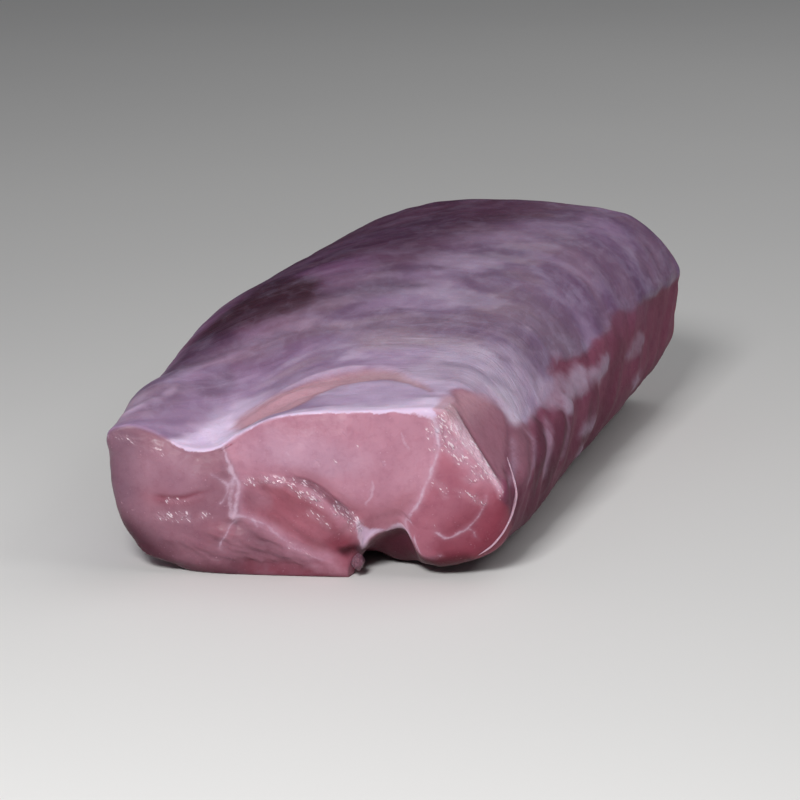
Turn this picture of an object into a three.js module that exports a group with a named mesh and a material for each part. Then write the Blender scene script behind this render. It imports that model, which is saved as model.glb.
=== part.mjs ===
// A raw, boneless, trimmed pork loin joint, lying on its flat underside. One solid piece of meat.
// Millimetres, +Z up. The long axis runs along Y, and the slanted cut face looks towards -Y.
// The origin is the middle of the footprint, on the surface that the joint rests on.
//
// The solid is a box whose surface is bent into the joint. A point of the box is (a, b, v):
// a and b, from -1 to 1, place it across the section, and v, from 0 to 1, along the length.
import * as THREE from "three";
import { mergeVertices } from "three/addons/utils/BufferGeometryUtils.js";

// Sizes at three stations along the length: [front cut, middle, back cut].
const section = {
  leftHalfWidth: [59.2, 73, 71],
  rightHalfWidth: [59, 59, 61.5],
  leftWaist: [37, 35, 40], // height of the widest point on the left
  rightWaist: [21.5, 28, 30],
};
// Squareness of each corner of the section: 2 is an ellipse, and larger is squarer.
const squareness = {
  topLeft: [4.2, 3.2, 3],
  topRight: [7, 4.5, 14],
  bottomRight: [3.6, 3, 2.8],
  bottomLeft: [3.3, 2.7, 2.7],
};

const length = 242; // front to back along the right side
const sideReach = 60; // nominal half width that the heights are stated against

const cut = {
  frontSlant: Math.tan(THREE.MathUtils.degToRad(12.4)), // the left side reaches further forward
  backSlant: Math.tan(THREE.MathUtils.degToRad(3.4)),
  frontSetBack: 8.7,
  rimRadiusTop: 1.8, // crisp where the silverskin meets the cut
  rimRadiusBottom: 6, // rounded where bare meat sags
  rimChanges: [-0.2, 0.6], // share of the section's half height, from the rounded to the crisp rim
  reliefFade: 5, // the power of the fade that brings the muscles' relief to nothing at the rim
};

const crown = {
  frontHeight: 51.2,
  frontTilt: 2.7, // how much higher the right side is than the middle
  backHeight: 73,
  leftFall: 5.5,
  rightFall: 9.5,
  riseEnd: 0.76, // share of the length by which the full height is reached
  earlierOnLeft: 0.24,
};

// A long dip between the side muscle and the eye of the loin, fading from the front cut.
const dip = { depth: 11, across: -30.5, width: 15, fadesBy: 0.35 };

// The sloping right shoulder: a line that trims the crown, [front, back].
const shoulder = {
  across: [38.5, 52],
  height: [54.6, 61.5],
  slope: [1.24, 1.1],
  settledBy: 0.8,
  blend: 2,
};

// A rounded lobe of the side muscle, just behind the cut at the top left.
const lobe = {
  rise: 3.5,
  spread: 1.2,
  along: 0.11, // shares of the length
  length: 0.08,
  height: 44,
  tallness: 15,
  startsBelow: 0.5, // share of the section's half height, under the widest point
};

// The groove on the underside, where the bones were taken out.
const groove = {
  across: 21.5,
  halfWidth: 11.5,
  height: 14.5,
  squareness: 2.2,
  roundness: 0.75,
  fullUntil: 0.06, // shares of the length
  closedBy: 0.45,
};

const underside = {
  sag: 2.5, // how far the soft base would hang below the resting surface, and so lies flat on it
  rightLift: 4, // the right side of the cut stands this much clear of the sag
  liftStart: 8,
  liftEnd: 34,
  liftFadesBy: 0.3,
};

// The muscles of the cut, each a low dome on an ellipse. The seams run where the domes meet.
const muscles = [
  { name: "side", x: -39, z: 24, halfWidth: 22, halfHeight: 28, swell: 3 },
  { name: "eye", x: 8, z: 34, halfWidth: 32, halfHeight: 22, swell: 3.2 },
  { name: "under the eye", x: -1, z: 17, halfWidth: 20, halfHeight: 14, swell: 2.6 },
  { name: "base", x: -8, z: 5, halfWidth: 24, halfHeight: 9, swell: 2.4 },
  { name: "right", x: 44, z: 27, halfWidth: 17, halfHeight: 27, swell: 3 },
];
const seamRounding = 0.8;
const backCutScale = { x: 1.14, z: 1.34 }; // the same muscles, larger, on the back cut

const segments = { across: 30, high: 16, along: 34 };
const ringCrowding = 0.85; // how strongly the rings along the length crowd towards the two cuts
const gather = { at: 0.37, width: 0.26, pull: 0.5, hold: 8 }; // columns drawn in around the groove

const clamp = THREE.MathUtils.clamp;
const lerp = THREE.MathUtils.lerp;
const ease = (x, from, to) => THREE.MathUtils.smoothstep(x, from, to);
const bell = (x, middle, width) => Math.exp(-(((x - middle) / width) ** 2));

// A size at station v, easing from the front value to the middle one and on to the back one.
function alongLength([front, middle, back], v) {
  return v < 0.5 ? lerp(front, middle, ease(v, 0, 0.5)) : lerp(middle, back, ease(v, 0.5, 1));
}

// The smaller of two heights, with the corner between them rounded over k.
function softMin(p, q, k) {
  const h = clamp(0.5 + (0.5 * (q - p)) / k, 0, 1);
  return lerp(q, p, h) - k * h * (1 - h);
}

function topHeight(x, v) {
  const t = x / sideReach;
  const left = clamp(-t, 0, 1);
  const right = clamp(t, 0, 1);
  const risenBy = crown.riseEnd - crown.earlierOnLeft * ease(-t, -0.3, 1);
  const front = crown.frontHeight + crown.frontTilt * t;
  const back = crown.backHeight - crown.leftFall * left ** 2 - crown.rightFall * right ** 2.5;
  const crownHeight = lerp(front, back, ease(v, 0, risenBy));
  const dipped =
    crownHeight - dip.depth * bell(x, dip.across, dip.width) * (1 - ease(v, 0, dip.fadesBy));
  const s = ease(v, 0, shoulder.settledBy);
  const trim =
    lerp(...shoulder.height, s) - lerp(...shoulder.slope, s) * (x - lerp(...shoulder.across, s));
  return softMin(dipped, trim, shoulder.blend);
}

function bottomHeight(x, v) {
  const lift =
    underside.rightLift *
    ease(x, underside.liftStart, underside.liftEnd) *
    (1 - ease(v, 0, underside.liftFadesBy));
  const reach = Math.min(1, Math.abs(x - groove.across) / groove.halfWidth);
  const arch =
    groove.height *
    (1 - reach ** groove.squareness) ** groove.roundness *
    (1 - ease(v, groove.fullUntil, groove.closedBy));
  return lift + arch - underside.sag;
}

function squarenessAt(a, b, v) {
  if (b >= 0) return alongLength(a >= 0 ? squareness.topRight : squareness.topLeft, v);
  return alongLength(a >= 0 ? squareness.bottomRight : squareness.bottomLeft, v);
}

// How far the skin draws in towards the middle of the section close to a cut: a quarter circle.
function rimInset(depth, radius) {
  const d = clamp(depth, 0, radius);
  return radius - Math.sqrt(radius ** 2 - (radius - d) ** 2);
}

// How far the cut face stands out at a place on it.
function muscleRelief(x, z) {
  let relief = 0;
  for (const m of muscles) {
    const r2 = ((x - m.x) / m.halfWidth) ** 2 + ((z - m.z) / m.halfHeight) ** 2;
    const dome = m.swell * (1 - r2);
    relief = -softMin(-relief, -dome, seamRounding);
  }
  return relief;
}

// The place of the box point (a, b, v) on the joint, before it is centred.
function bend(a, b, v) {
  const reach = Math.max(Math.abs(a), Math.abs(b));
  const n = squarenessAt(a, b, v);
  const radial = (Math.abs(a) ** n + Math.abs(b) ** n) ** (1 / n);
  const round = reach / Math.max(radial, 1e-9);
  const radius = lerp(cut.rimRadiusBottom, cut.rimRadiusTop, ease(b * round, ...cut.rimChanges));
  const inset = rimInset(Math.min(v, 1 - v) * length, radius);
  const halfWidth = alongLength(a >= 0 ? section.rightHalfWidth : section.leftHalfWidth, v);
  let x = (halfWidth - inset) * a * round;
  const leftWaist = alongLength(section.leftWaist, v);
  const rightWaist = alongLength(section.rightWaist, v);
  const waist = lerp(leftWaist, rightWaist, (x + sideReach) / (2 * sideReach));
  const edge = b >= 0 ? topHeight(x, v) - waist : waist - bottomHeight(x, v);
  let z = waist + (edge - inset) * b * round;
  if (a < 0) {
    const swell = bell(v, lobe.along, lobe.length) * bell(z, lobe.height, lobe.tallness) * a ** 2;
    x -= lobe.spread * swell * reach;
    z += lobe.rise * swell * reach * clamp(b + lobe.startsBelow, 0, 1);
  }
  const fade = 1 - reach ** cut.reliefFade;
  const frontRelief = muscleRelief(x, z) * fade;
  const backRelief = muscleRelief(x / backCutScale.x, z / backCutScale.z) * fade;
  const frontY = cut.frontSlant * x - cut.frontSetBack - frontRelief;
  const backY = length + cut.backSlant * (x - section.rightHalfWidth[2]) + backRelief;
  return new THREE.Vector3(x, lerp(frontY, backY, v), Math.max(0, z));
}

// Even steps from 0 to 1, crowded towards both ends so that the rims of the cuts come out round.
function crowded(v) {
  return lerp(v, 0.5 - 0.5 * Math.cos(Math.PI * v), ringCrowding);
}

// Even steps across, drawn in around the groove so that its arch has enough columns.
// The outermost ones hold their place.
function gathered(a) {
  const pull = gather.pull * bell(a, gather.at, gather.width) * (1 - a ** gather.hold);
  return a - pull * (a - gather.at);
}

function loinGeometry() {
  const box = new THREE.BoxGeometry(2, 1, 2, segments.across, segments.along, segments.high);
  box.deleteAttribute("normal");
  box.deleteAttribute("uv");
  const geometry = mergeVertices(box);
  const position = geometry.getAttribute("position");
  for (let i = 0; i < position.count; i++) {
    const a = gathered(position.getX(i));
    const v = crowded(position.getY(i) + 0.5);
    const point = bend(a, position.getZ(i), v);
    position.setXYZ(i, point.x, point.y, point.z);
  }
  geometry.computeBoundingBox();
  const middle = geometry.boundingBox.getCenter(new THREE.Vector3());
  geometry.translate(-middle.x, -middle.y, 0);
  geometry.computeVertexNormals();
  return geometry;
}

const meat = new THREE.MeshStandardMaterial({ color: 0xb87f86, roughness: 0.45, metalness: 0 });

const loin = new THREE.Mesh(loinGeometry(), meat);
loin.name = "pork_loin";

const joint = new THREE.Group();
joint.add(loin);

export default joint;
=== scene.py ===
import math

import bpy
import numpy as np
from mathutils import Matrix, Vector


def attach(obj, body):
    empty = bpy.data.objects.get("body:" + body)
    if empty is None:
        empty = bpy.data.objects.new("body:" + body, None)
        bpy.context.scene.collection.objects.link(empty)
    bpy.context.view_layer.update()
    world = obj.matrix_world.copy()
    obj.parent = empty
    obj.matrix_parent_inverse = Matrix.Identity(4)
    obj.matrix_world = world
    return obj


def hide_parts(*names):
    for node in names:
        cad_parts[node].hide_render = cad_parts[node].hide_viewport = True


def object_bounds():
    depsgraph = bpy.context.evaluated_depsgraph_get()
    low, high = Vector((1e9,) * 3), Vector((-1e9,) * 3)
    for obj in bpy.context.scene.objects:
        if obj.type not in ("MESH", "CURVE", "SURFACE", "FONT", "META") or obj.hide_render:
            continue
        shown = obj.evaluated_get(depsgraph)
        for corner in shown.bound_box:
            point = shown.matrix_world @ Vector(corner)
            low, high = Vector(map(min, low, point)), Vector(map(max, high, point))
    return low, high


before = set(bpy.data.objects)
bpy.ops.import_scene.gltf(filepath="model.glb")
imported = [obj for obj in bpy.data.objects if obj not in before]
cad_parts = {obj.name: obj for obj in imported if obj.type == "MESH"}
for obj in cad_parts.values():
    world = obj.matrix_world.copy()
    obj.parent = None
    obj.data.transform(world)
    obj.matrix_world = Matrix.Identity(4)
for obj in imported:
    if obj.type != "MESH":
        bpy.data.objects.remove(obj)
cadLow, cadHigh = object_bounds()
print("frame loaded")

mm = 0.001  # shapes are worked out in millimetres and put into the meshes in metres

cameraView = {
    "place": (0.2855, -0.9335, 0.2687),  # metres
    "azimuth": 17.1,  # degrees
    "elevation": 13.96,
    "lens": 135,
}


def makeCamera(view):
    data = bpy.data.cameras.new("camera")
    data.lens = view["lens"]
    data.sensor_width = 36
    data.clip_start = 0.01
    data.clip_end = 50
    camera = bpy.data.objects.new("camera", data)
    camera.location = view["place"]
    tilt = math.radians(90 - view["elevation"])
    camera.rotation_euler = (tilt, 0, math.radians(view["azimuth"]))
    bpy.context.collection.objects.link(camera)
    bpy.context.scene.camera = camera


softLights = {
    "key": {"place": (0.04, -0.86, 0.62), "aim": (0, -0.08, 0.03), "size": (0.28, 0.22), "watts": 7.7},
    "top": {"place": (0.45, 0.75, 1.4), "aim": (0, 0.3, 0), "size": (1.3, 1.3), "watts": 5.2},
    "side": {"place": (0.75, -0.15, 0.8), "aim": (0, -0.05, 0.03), "size": (0.35, 0.35), "watts": 1.2},
}
roomGlow = {"colour": (0.86, 0.88, 0.92), "strength": 0.12}


def makeLight(name, light):  # a soft rectangle, turned from its place towards its aim
    data = bpy.data.lights.new(name, "AREA")
    data.shape = "RECTANGLE"
    data.size, data.size_y = light["size"]
    data.energy = light["watts"]
    lamp = bpy.data.objects.new(name, data)
    lamp.location = light["place"]
    east, north, up = (aim - place for aim, place in zip(light["aim"], light["place"]))
    tilt = math.atan2(math.hypot(east, north), -up)
    lamp.rotation_euler = (tilt, 0, math.atan2(north, east) - math.pi / 2)
    bpy.context.collection.objects.link(lamp)


def makeRoom(glow):
    world = bpy.data.worlds.new("room")
    world.use_nodes = True
    background = world.node_tree.nodes["Background"]
    background.inputs["Color"].default_value = (*glow["colour"], 1)
    background.inputs["Strength"].default_value = glow["strength"]
    bpy.context.scene.world = world
    bpy.context.scene.view_settings.view_transform = "Standard"


class Wire:  # an output socket: arithmetic on wires adds Math nodes
    def __init__(self, tree, socket):
        self.tree = tree
        self.socket = socket

    def node(self, kind, settings=None, values=None, output=0):
        made = self.tree.nodes.new(kind)
        for name, value in (settings or {}).items():
            setattr(made, name, value)
        for name, value in (values or {}).items():
            if isinstance(value, Wire):
                self.tree.links.new(value.socket, made.inputs[name])
            else:
                made.inputs[name].default_value = value
        return Wire(self.tree, made.outputs[output])

    def maths(self, operation, first, second):
        return self.node("ShaderNodeMath", {"operation": operation}, {0: first, 1: second})

    def __add__(self, other):
        return self.maths("ADD", self, other)

    __radd__ = __add__

    def __sub__(self, other):
        return self.maths("SUBTRACT", self, other)

    def __rsub__(self, other):
        return self.maths("SUBTRACT", other, self)

    def __mul__(self, other):
        return self.maths("MULTIPLY", self, other)

    __rmul__ = __mul__

    def between(self, low, high):  # 0 below low, 1 above high, eased in the middle
        values = {"Value": self, "From Min": low, "From Max": high}
        return self.node("ShaderNodeMapRange", {"interpolation_type": "SMOOTHSTEP"}, values)

    def times(self, x, y, z):  # a vector stretched along its three axes
        values = {0: self, 1: (x, y, z)}
        return self.node("ShaderNodeVectorMath", {"operation": "MULTIPLY"}, values)

    def noise(self, scale, detail, roughness=0.5, distortion=0):
        values = {"Vector": self, "Scale": scale, "Detail": detail, "Roughness": roughness}
        values["Distortion"] = distortion
        return self.node("ShaderNodeTexNoise", None, values)

    def mix(self, first, second):  # this wire is the share of the second colour over the first
        values = {0: self, 6: first, 7: second}
        return self.node("ShaderNodeMix", {"data_type": "RGBA"}, values, 2)

    def part(self, axis):
        return self.node("ShaderNodeSeparateXYZ", None, {"Vector": self}, axis)


def screen(colour):  # the linear form of a colour as a screen shows it, 0 to 255
    parts = np.array(colour) / 255
    return np.where(parts < 0.04045, parts / 12.92, ((parts + 0.055) / 1.055) ** 2.4)


def paint(colour):  # the same for a colour socket
    return (*screen(colour), 1)


def ease(x, start, end):  # 0 before start, 1 after end, and a smooth step between
    t = np.clip((x - start) / (end - start), 0, 1)
    return t * t * (3 - 2 * t)


def bell(x, middle, width):  # 1 at the middle, falling away on both sides
    return np.exp(-(((x - middle) / width) ** 2))


def between(p, q, t):  # from p at 0 to q at 1
    return p + (q - p) * t


def scatter(i, j, k, seed):  # a repeatable random number from -1 to 1 for each lattice point
    h = (i * 73856093) ^ (j * 19349663) ^ (k * 83492791) ^ (seed * 26544357)
    h = (h ^ (h >> 13)) * 1274126177
    h = h ^ (h >> 16)
    return (h & 0xFFFF) / 32767.5 - 1


# Random heights at the corners of cells of unit size, eased from corner to corner.
def lumps(x, y, z, seed):
    place = np.stack([x, y, z]) + 31.7  # so that the cells do not start at the origin
    cell = np.floor(place).astype(np.int64)
    t = ease(place - cell, 0, 1)
    total = np.zeros(x.shape)
    for corner in range(8):
        up = [(corner >> axis) & 1 for axis in range(3)]
        weight = np.ones(x.shape)
        for axis in range(3):
            weight = weight * (t[axis] if up[axis] else 1 - t[axis])
        total += weight * scatter(cell[0] + up[0], cell[1] + up[1], cell[2] + up[2], seed)
    return total


def rough(x, y, z, seed, layers=3):  # lumps on lumps, each layer half the size and height
    total = np.zeros(x.shape)
    for layer in range(layers):
        scale = 2.0 ** layer
        total += lumps(x * scale, y * scale, z * scale, seed + layer) / scale
    return total


# A smooth curve through a few points: cubic pieces whose slope at a point is that of the line between
# its neighbours.
def smoothLine(points, closed=False, steps=5):
    p = np.array(points, float)
    if closed:
        p = np.vstack([p[-1:], p, p[:2]])
    else:
        p = np.vstack([2 * p[0] - p[1], p, 2 * p[-1] - p[-2]])
    t = (np.arange(steps) / steps)[:, None, None]
    before, start, end, after = p[:-3], p[1:-2], p[2:-1], p[3:]
    curve = start + 0.5 * t * (end - before)
    curve = curve + t ** 2 * (before - 2.5 * start + 2 * end - 0.5 * after)
    curve = curve + t ** 3 * (-0.5 * before + 1.5 * start - 1.5 * end + 0.5 * after)
    curve = curve.transpose(1, 0, 2).reshape(-1, p.shape[1])
    return curve if closed else np.vstack([curve, p[-2]])


# Distance of each place to the nearest bit of the line, positive on its left, and the share of the
# line's length at which that bit lies.
def besideLine(x, y, points):
    line = smoothLine(points)
    step = np.diff(line, axis=0)
    length = np.hypot(step[:, 0], step[:, 1])
    reached = np.concatenate([[0], np.cumsum(length)])
    gap = np.full(x.shape, 1e9)
    side = np.ones(x.shape)
    along = np.zeros(x.shape)
    for k in range(len(step)):
        px, py = x - line[k, 0], y - line[k, 1]
        t = np.clip((px * step[k, 0] + py * step[k, 1]) / length[k] ** 2, 0, 1)
        here = np.hypot(px - t * step[k, 0], py - t * step[k, 1])
        closer = here < gap
        gap = np.where(closer, here, gap)
        side = np.where(closer, np.sign(step[k, 0] * py - step[k, 1] * px + 1e-12), side)
        along = np.where(closer, (reached[k] + t * length[k]) / reached[-1], along)
    return gap * side, along


# Distance of each place to the outline, positive inside. A place is inside when a ray from it crosses
# the outline an odd number of times.
def insideOutline(x, y, points):
    line = smoothLine(points, closed=True)
    ahead = np.roll(line, -1, axis=0)
    gap = np.full(x.shape, 1e9)
    inside = np.zeros(x.shape, bool)
    for (x0, y0), (x1, y1) in zip(line, ahead):
        dx, dy = x1 - x0, y1 - y0
        t = np.clip(((x - x0) * dx + (y - y0) * dy) / max(dx * dx + dy * dy, 1e-9), 0, 1)
        gap = np.minimum(gap, np.hypot(x - x0 - t * dx, y - y0 - t * dy))
        if dy != 0:
            crosses = (y0 > y) != (y1 > y)
            inside ^= crosses & (x < x0 + (y - y0) * dx / dy)
    return np.where(inside, gap, -gap)


# The body of the loin is a box bent into shape, the same one as in the CAD solid.
loinShape = {
    "leftHalf": (59.2, 73, 71),  # half widths at the front cut, the middle and the back cut
    "rightHalf": (59, 59, 61.5),
    "leftWaist": (37, 35, 40),  # height of the widest point
    "rightWaist": (21.5, 28, 30),
    "topLeft": (4.2, 3.2, 3),  # squareness of each corner of the section: 2 is an ellipse
    "topRight": (7, 4.5, 14),
    "bottomRight": (3.6, 2.7, 2.1),
    "bottomLeft": (3.3, 2.7, 2.7),
    "length": 242,
    "reach": 60,  # half width that the heights are stated against
    "frontSlant": 0.22,
    "frontSetBack": 8.7,
    "backSlant": 0.0594,
    "rimRadius": (6, 1.8),  # at the bottom and at the top of a cut
    "bevel": 3.4,  # how much wider the rim is rounded at the top right of the front cut
    "middle": (-5.754, 110.933),  # of the footprint, which is the origin
    "backScale": (1.14, 1.34),  # the muscles of the back cut are this much wider and higher
    "shrink": 0.4,  # how far the finished surface stays inside the solid, for the relief
}
crown = {
    "front": 51.2,
    "frontTilt": 2.7,  # how much higher the right side is than the middle
    "back": 73,
    "falls": (5.5, 9.5),  # to the left and to the right
    "risenBy": 0.76,  # share of the length
    "soonerOnLeft": 0.24,
}
# a long dip between the side muscle and the eye of the loin, the line that trims the right shoulder
dip = {"depth": 11, "x": -30.5, "width": 15, "goneBy": 0.35}
shoulder = {"x": (38.5, 52), "height": (54.6, 61.5), "slope": (1.24, 1.1), "settledBy": 0.8}
groove = {  # on the underside
    "x": 25.2,
    "moves": 12,  # to the left behind the opening
    "left": 13.1,  # half widths
    "leftLess": 8,
    "right": 6.5,
    "height": 13,
    "drops": 0.55,  # share of the height that the roof comes down behind the opening
}
underside = {"sag": 2.5, "rightLift": 4}
# the side muscle swells just behind the cut at the top left
lobe = {"along": 0.11, "length": 0.08, "height": 44, "tallness": 15, "rise": 3.5, "spread": 1.2}
muscles = [  # x, z, half width, half height, swell of each dome on the cut
    (-39, 24, 22, 28, 3),
    (8, 34, 32, 22, 3.2),
    (-1, 17, 20, 14, 2.6),
    (-8, 5, 24, 9, 2.4),
    (44, 27, 17, 27, 3),
]


def stations(sizes, v):  # from the front size to the middle one and on to the back one
    first = between(sizes[0], sizes[1], ease(v, 0, 0.5))
    return np.where(v < 0.5, first, between(sizes[1], sizes[2], ease(v, 0.5, 1)))


def softMin(p, q, k):  # the smaller of two heights, with the corner between them rounded over k
    h = np.clip(0.5 + 0.5 * (q - p) / k, 0, 1)
    return between(q, p, h) - k * h * (1 - h)


# The crown rises from front to back, with a dip left of the middle, and a sloping line trims it to the
# right shoulder.
def topHeight(x, v):
    t = x / loinShape["reach"]
    risen = crown["risenBy"] - crown["soonerOnLeft"] * ease(-t, -0.3, 1)
    front = crown["front"] + crown["frontTilt"] * t
    leftFall, rightFall = crown["falls"]
    back = crown["back"] - leftFall * np.clip(-t, 0, 1) ** 2 - rightFall * np.clip(t, 0, 1) ** 2.5
    hollow = dip["depth"] * bell(x, dip["x"], dip["width"]) * (1 - ease(v, 0, dip["goneBy"]))
    height = between(front, back, ease(v, 0, risen)) - hollow
    s = ease(v, 0, shoulder["settledBy"])
    off = x - between(*shoulder["x"], s)
    trim = between(*shoulder["height"], s) - between(*shoulder["slope"], s) * off
    return softMin(height, trim, 2 + 8 * ease(v, 0, 0.2) - 4 * ease(v, 0.8, 1))


# The soft base would hang a little below the table. A groove where bones were runs in from the front:
# its middle moves left behind the opening, and its roof comes down.
def bottomHeight(x, v):
    lift = underside["rightLift"] * ease(x, 8, 34) * (1 - ease(v, 0, 0.3))
    inward = ease(v, 0.016, 0.066)
    off = x - groove["x"] + groove["moves"] * inward
    left = groove["left"] - groove["leftLess"] * inward
    reach = np.minimum(1, np.where(off < 0, -off / left, off / groove["right"]))
    height = groove["height"] * (1 - groove["drops"] * inward) * (1 - ease(v, 0.06, 0.45))
    return lift + height * (1 - reach ** 2.2) ** 0.75 - underside["sag"]


def muscleRelief(x, z):  # the highest of the domes, with the seams between them rounded
    relief = np.zeros(x.shape)
    for mx, mz, halfWidth, halfHeight, swell in muscles:
        dome = swell * (1 - ((x - mx) / halfWidth) ** 2 - ((z - mz) / halfHeight) ** 2)
        relief = -softMin(-relief, -dome, 0.8)
    return relief


# The box point (a, b, v) goes to a superellipse of the section at v, drawn in by a quarter circle at the
# rims of the cuts, and the two ends lean as the cuts do and carry the low domes of the muscles.
def bend(shape, a, b, v):
    reach = np.maximum(abs(a), abs(b))
    top = np.where(a >= 0, stations(shape["topRight"], v), stations(shape["topLeft"], v))
    bottom = np.where(a >= 0, stations(shape["bottomRight"], v), stations(shape["bottomLeft"], v))
    n = np.where(b >= 0, top, bottom)
    radial = (abs(a) ** n + abs(b) ** n) ** (1 / n)
    rounding = reach / np.maximum(radial, 1e-9)
    upper = ease(b * rounding, -0.2, 0.6)
    bevel = ease(a * rounding, 0.6, 0.76) * upper * ease(v, 0.5, 0.4)
    radius = between(*shape["rimRadius"], upper) + shape["bevel"] * bevel
    depth = np.clip(np.minimum(v, 1 - v) * shape["length"], 0, radius)
    inset = radius - np.sqrt(radius ** 2 - (radius - depth) ** 2)
    halfWidth = np.where(a >= 0, stations(shape["rightHalf"], v), stations(shape["leftHalf"], v))
    x = (halfWidth - inset) * a * rounding
    across = (x + shape["reach"]) / (2 * shape["reach"])
    waist = between(stations(shape["leftWaist"], v), stations(shape["rightWaist"], v), across)
    edge = np.where(b >= 0, topHeight(x, v) - waist, waist - bottomHeight(x, v))
    z = waist + (edge - inset) * b * rounding
    swell = bell(v, lobe["along"], lobe["length"]) * bell(z, lobe["height"], lobe["tallness"])
    swell = np.where(a < 0, swell * a * a, 0)
    x = x - lobe["spread"] * swell * reach
    z = z + lobe["rise"] * swell * reach * np.clip(b + 0.5, 0, 1)
    fade = (1 - reach ** 5) * (1 - bell(x, dip["x"], 16) * ease(topHeight(x, v) - z, 9, 0))
    wider, higher = shape["backScale"]
    front = shape["frontSlant"] * x - shape["frontSetBack"] - muscleRelief(x, z) * fade
    lean = shape["backSlant"] * (x - shape["rightHalf"][2])
    back = shape["length"] + lean + muscleRelief(x / wider, z / higher) * fade
    y = between(front, back, v)
    return np.stack([x - shape["middle"][0], y - shape["middle"][1], np.maximum(z, 0)], -1)


def cutPlane(x):  # y of the rim of the front cut at x
    return loinShape["frontSlant"] * (x + loinShape["middle"][0]) - 119.6


# The grid: a fine front cut, fine rings behind its rim, then rings of half that count to the back cut.
loinGrid = {"across": 132, "high": 58, "fineRings": 14, "rings": 112, "fineDepth": 0.034}


# Once round the box: over the top, down the right, along the bottom and up the left.
def ringLoop(across, high):
    right, up = np.arange(across), np.arange(high)
    i = np.concatenate([right, np.full(high, across), across - right, np.zeros(high, int)])
    j = np.concatenate([np.full(across, high), high - up, np.zeros(across, int), up])
    return i, j


def capIds(across, high, ringStart, innerStart):  # vertex numbers of a cut: its ring, then its inside
    i, j = ringLoop(across, high)
    ids = np.zeros((across + 1, high + 1), int)
    ids[i, j] = ringStart + np.arange(len(i))
    inside = np.arange((across - 1) * (high - 1)).reshape(across - 1, high - 1)
    ids[1:-1, 1:-1] = innerStart + inside
    return ids


def capFaces(ids):  # a face between every four neighbours
    return np.stack([ids[:-1, :-1], ids[1:, :-1], ids[1:, 1:], ids[:-1, 1:]], -1).reshape(-1, 4)


def ringFaces(start, count, around):  # faces between each ring and the next one
    ids = start + np.arange(count * around).reshape(count, around)
    ahead = np.roll(ids, -1, axis=1)
    return np.stack([ids[:-1], ahead[:-1], ahead[1:], ids[1:]], -1).reshape(-1, 4)


def capPoints(a, b, v):  # the inside of a cut at station v
    innerA, innerB = np.meshgrid(a[1:-1], b[1:-1], indexing="ij")
    return np.stack([innerA, innerB, 0 * innerA + v], -1).reshape(-1, 3)


def ringPoints(a, b, v):  # the loop of a and b at every station of v
    ringA, ringV = np.meshgrid(a, v)
    return np.stack([ringA, np.broadcast_to(b, ringA.shape), ringV], -1).reshape(-1, 3)


# Box coordinates (a, b, v) of every vertex, and the faces. Columns gather round the groove, and rings
# crowd behind the front cut and before the back one. Where the fine rings end, each edge of the first
# plain ring meets two edges of the last fine one in three triangles.
def loinBox(grid):
    across, high = grid["across"], grid["high"]
    even = np.linspace(-1, 1, 2 * across + 1)
    a = even - 0.4 * bell(even, 0.37, 0.26) * (1 - even ** 8) * (even - 0.37)
    even = np.linspace(-1, 1, 2 * high + 1)
    b = even + 0.1 * np.sin(math.pi * even) / math.pi
    i, j = ringLoop(2 * across, 2 * high)
    fineV = grid["fineDepth"] * np.linspace(0, 1, grid["fineRings"] + 1) ** 1.35
    v = np.linspace(0, 1, 4001)
    density = 1 + 1.6 * np.exp(-v / 0.25) + 2.5 * np.exp(-(1 - v) / 0.025)
    counted = np.cumsum(np.where(v < grid["fineDepth"], 0, density))
    plainV = np.interp(np.linspace(0, counted[-1], grid["rings"] + 1)[1:], counted, v)
    plainV[-1] = 1
    blocks = [capPoints(a, b, 0), ringPoints(a[i], b[j], fineV),
              ringPoints(a[i][::2], b[j][::2], plainV), capPoints(a[::2], b[::2], 1)]
    starts = np.concatenate([[0], np.cumsum([len(block) for block in blocks])])
    around = 2 * (across + high)
    front = capFaces(capIds(2 * across, 2 * high, starts[1], 0))
    fine = ringFaces(starts[1], grid["fineRings"] + 1, 2 * around)
    plain = ringFaces(starts[2], grid["rings"], around)
    back = capFaces(capIds(across, high, starts[3] - around, starts[3]))[:, ::-1]
    quads = np.concatenate([front, fine, plain, back])
    k = np.arange(around)
    last = starts[2] - 2 * around
    near, mid, far = last + 2 * k, last + 2 * k + 1, last + (2 * k + 2) % (2 * around)
    plainHere, plainNext = starts[2] + k, starts[2] + (k + 1) % around
    thirds = [(near, mid, plainHere), (mid, plainNext, plainHere), (mid, far, plainNext)]
    triangles = np.concatenate([np.stack(third, -1) for third in thirds])
    return np.concatenate(blocks), quads, triangles, starts


def normalsOf(points, quads, triangles):  # mean of the normals of the faces round each vertex, by area
    corners = np.concatenate([quads[:, [0, 1, 2]], quads[:, [0, 2, 3]], triangles])
    p, q, r = (points[corners[:, k]] for k in range(3))
    facing = np.cross(q - p, r - p)
    total = np.zeros(points.shape)
    for k in range(3):
        for axis in range(3):
            total[:, axis] += np.bincount(corners[:, k], facing[:, axis], len(points))
    return total / np.maximum(np.linalg.norm(total, axis=1, keepdims=True), 1e-12)


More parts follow.
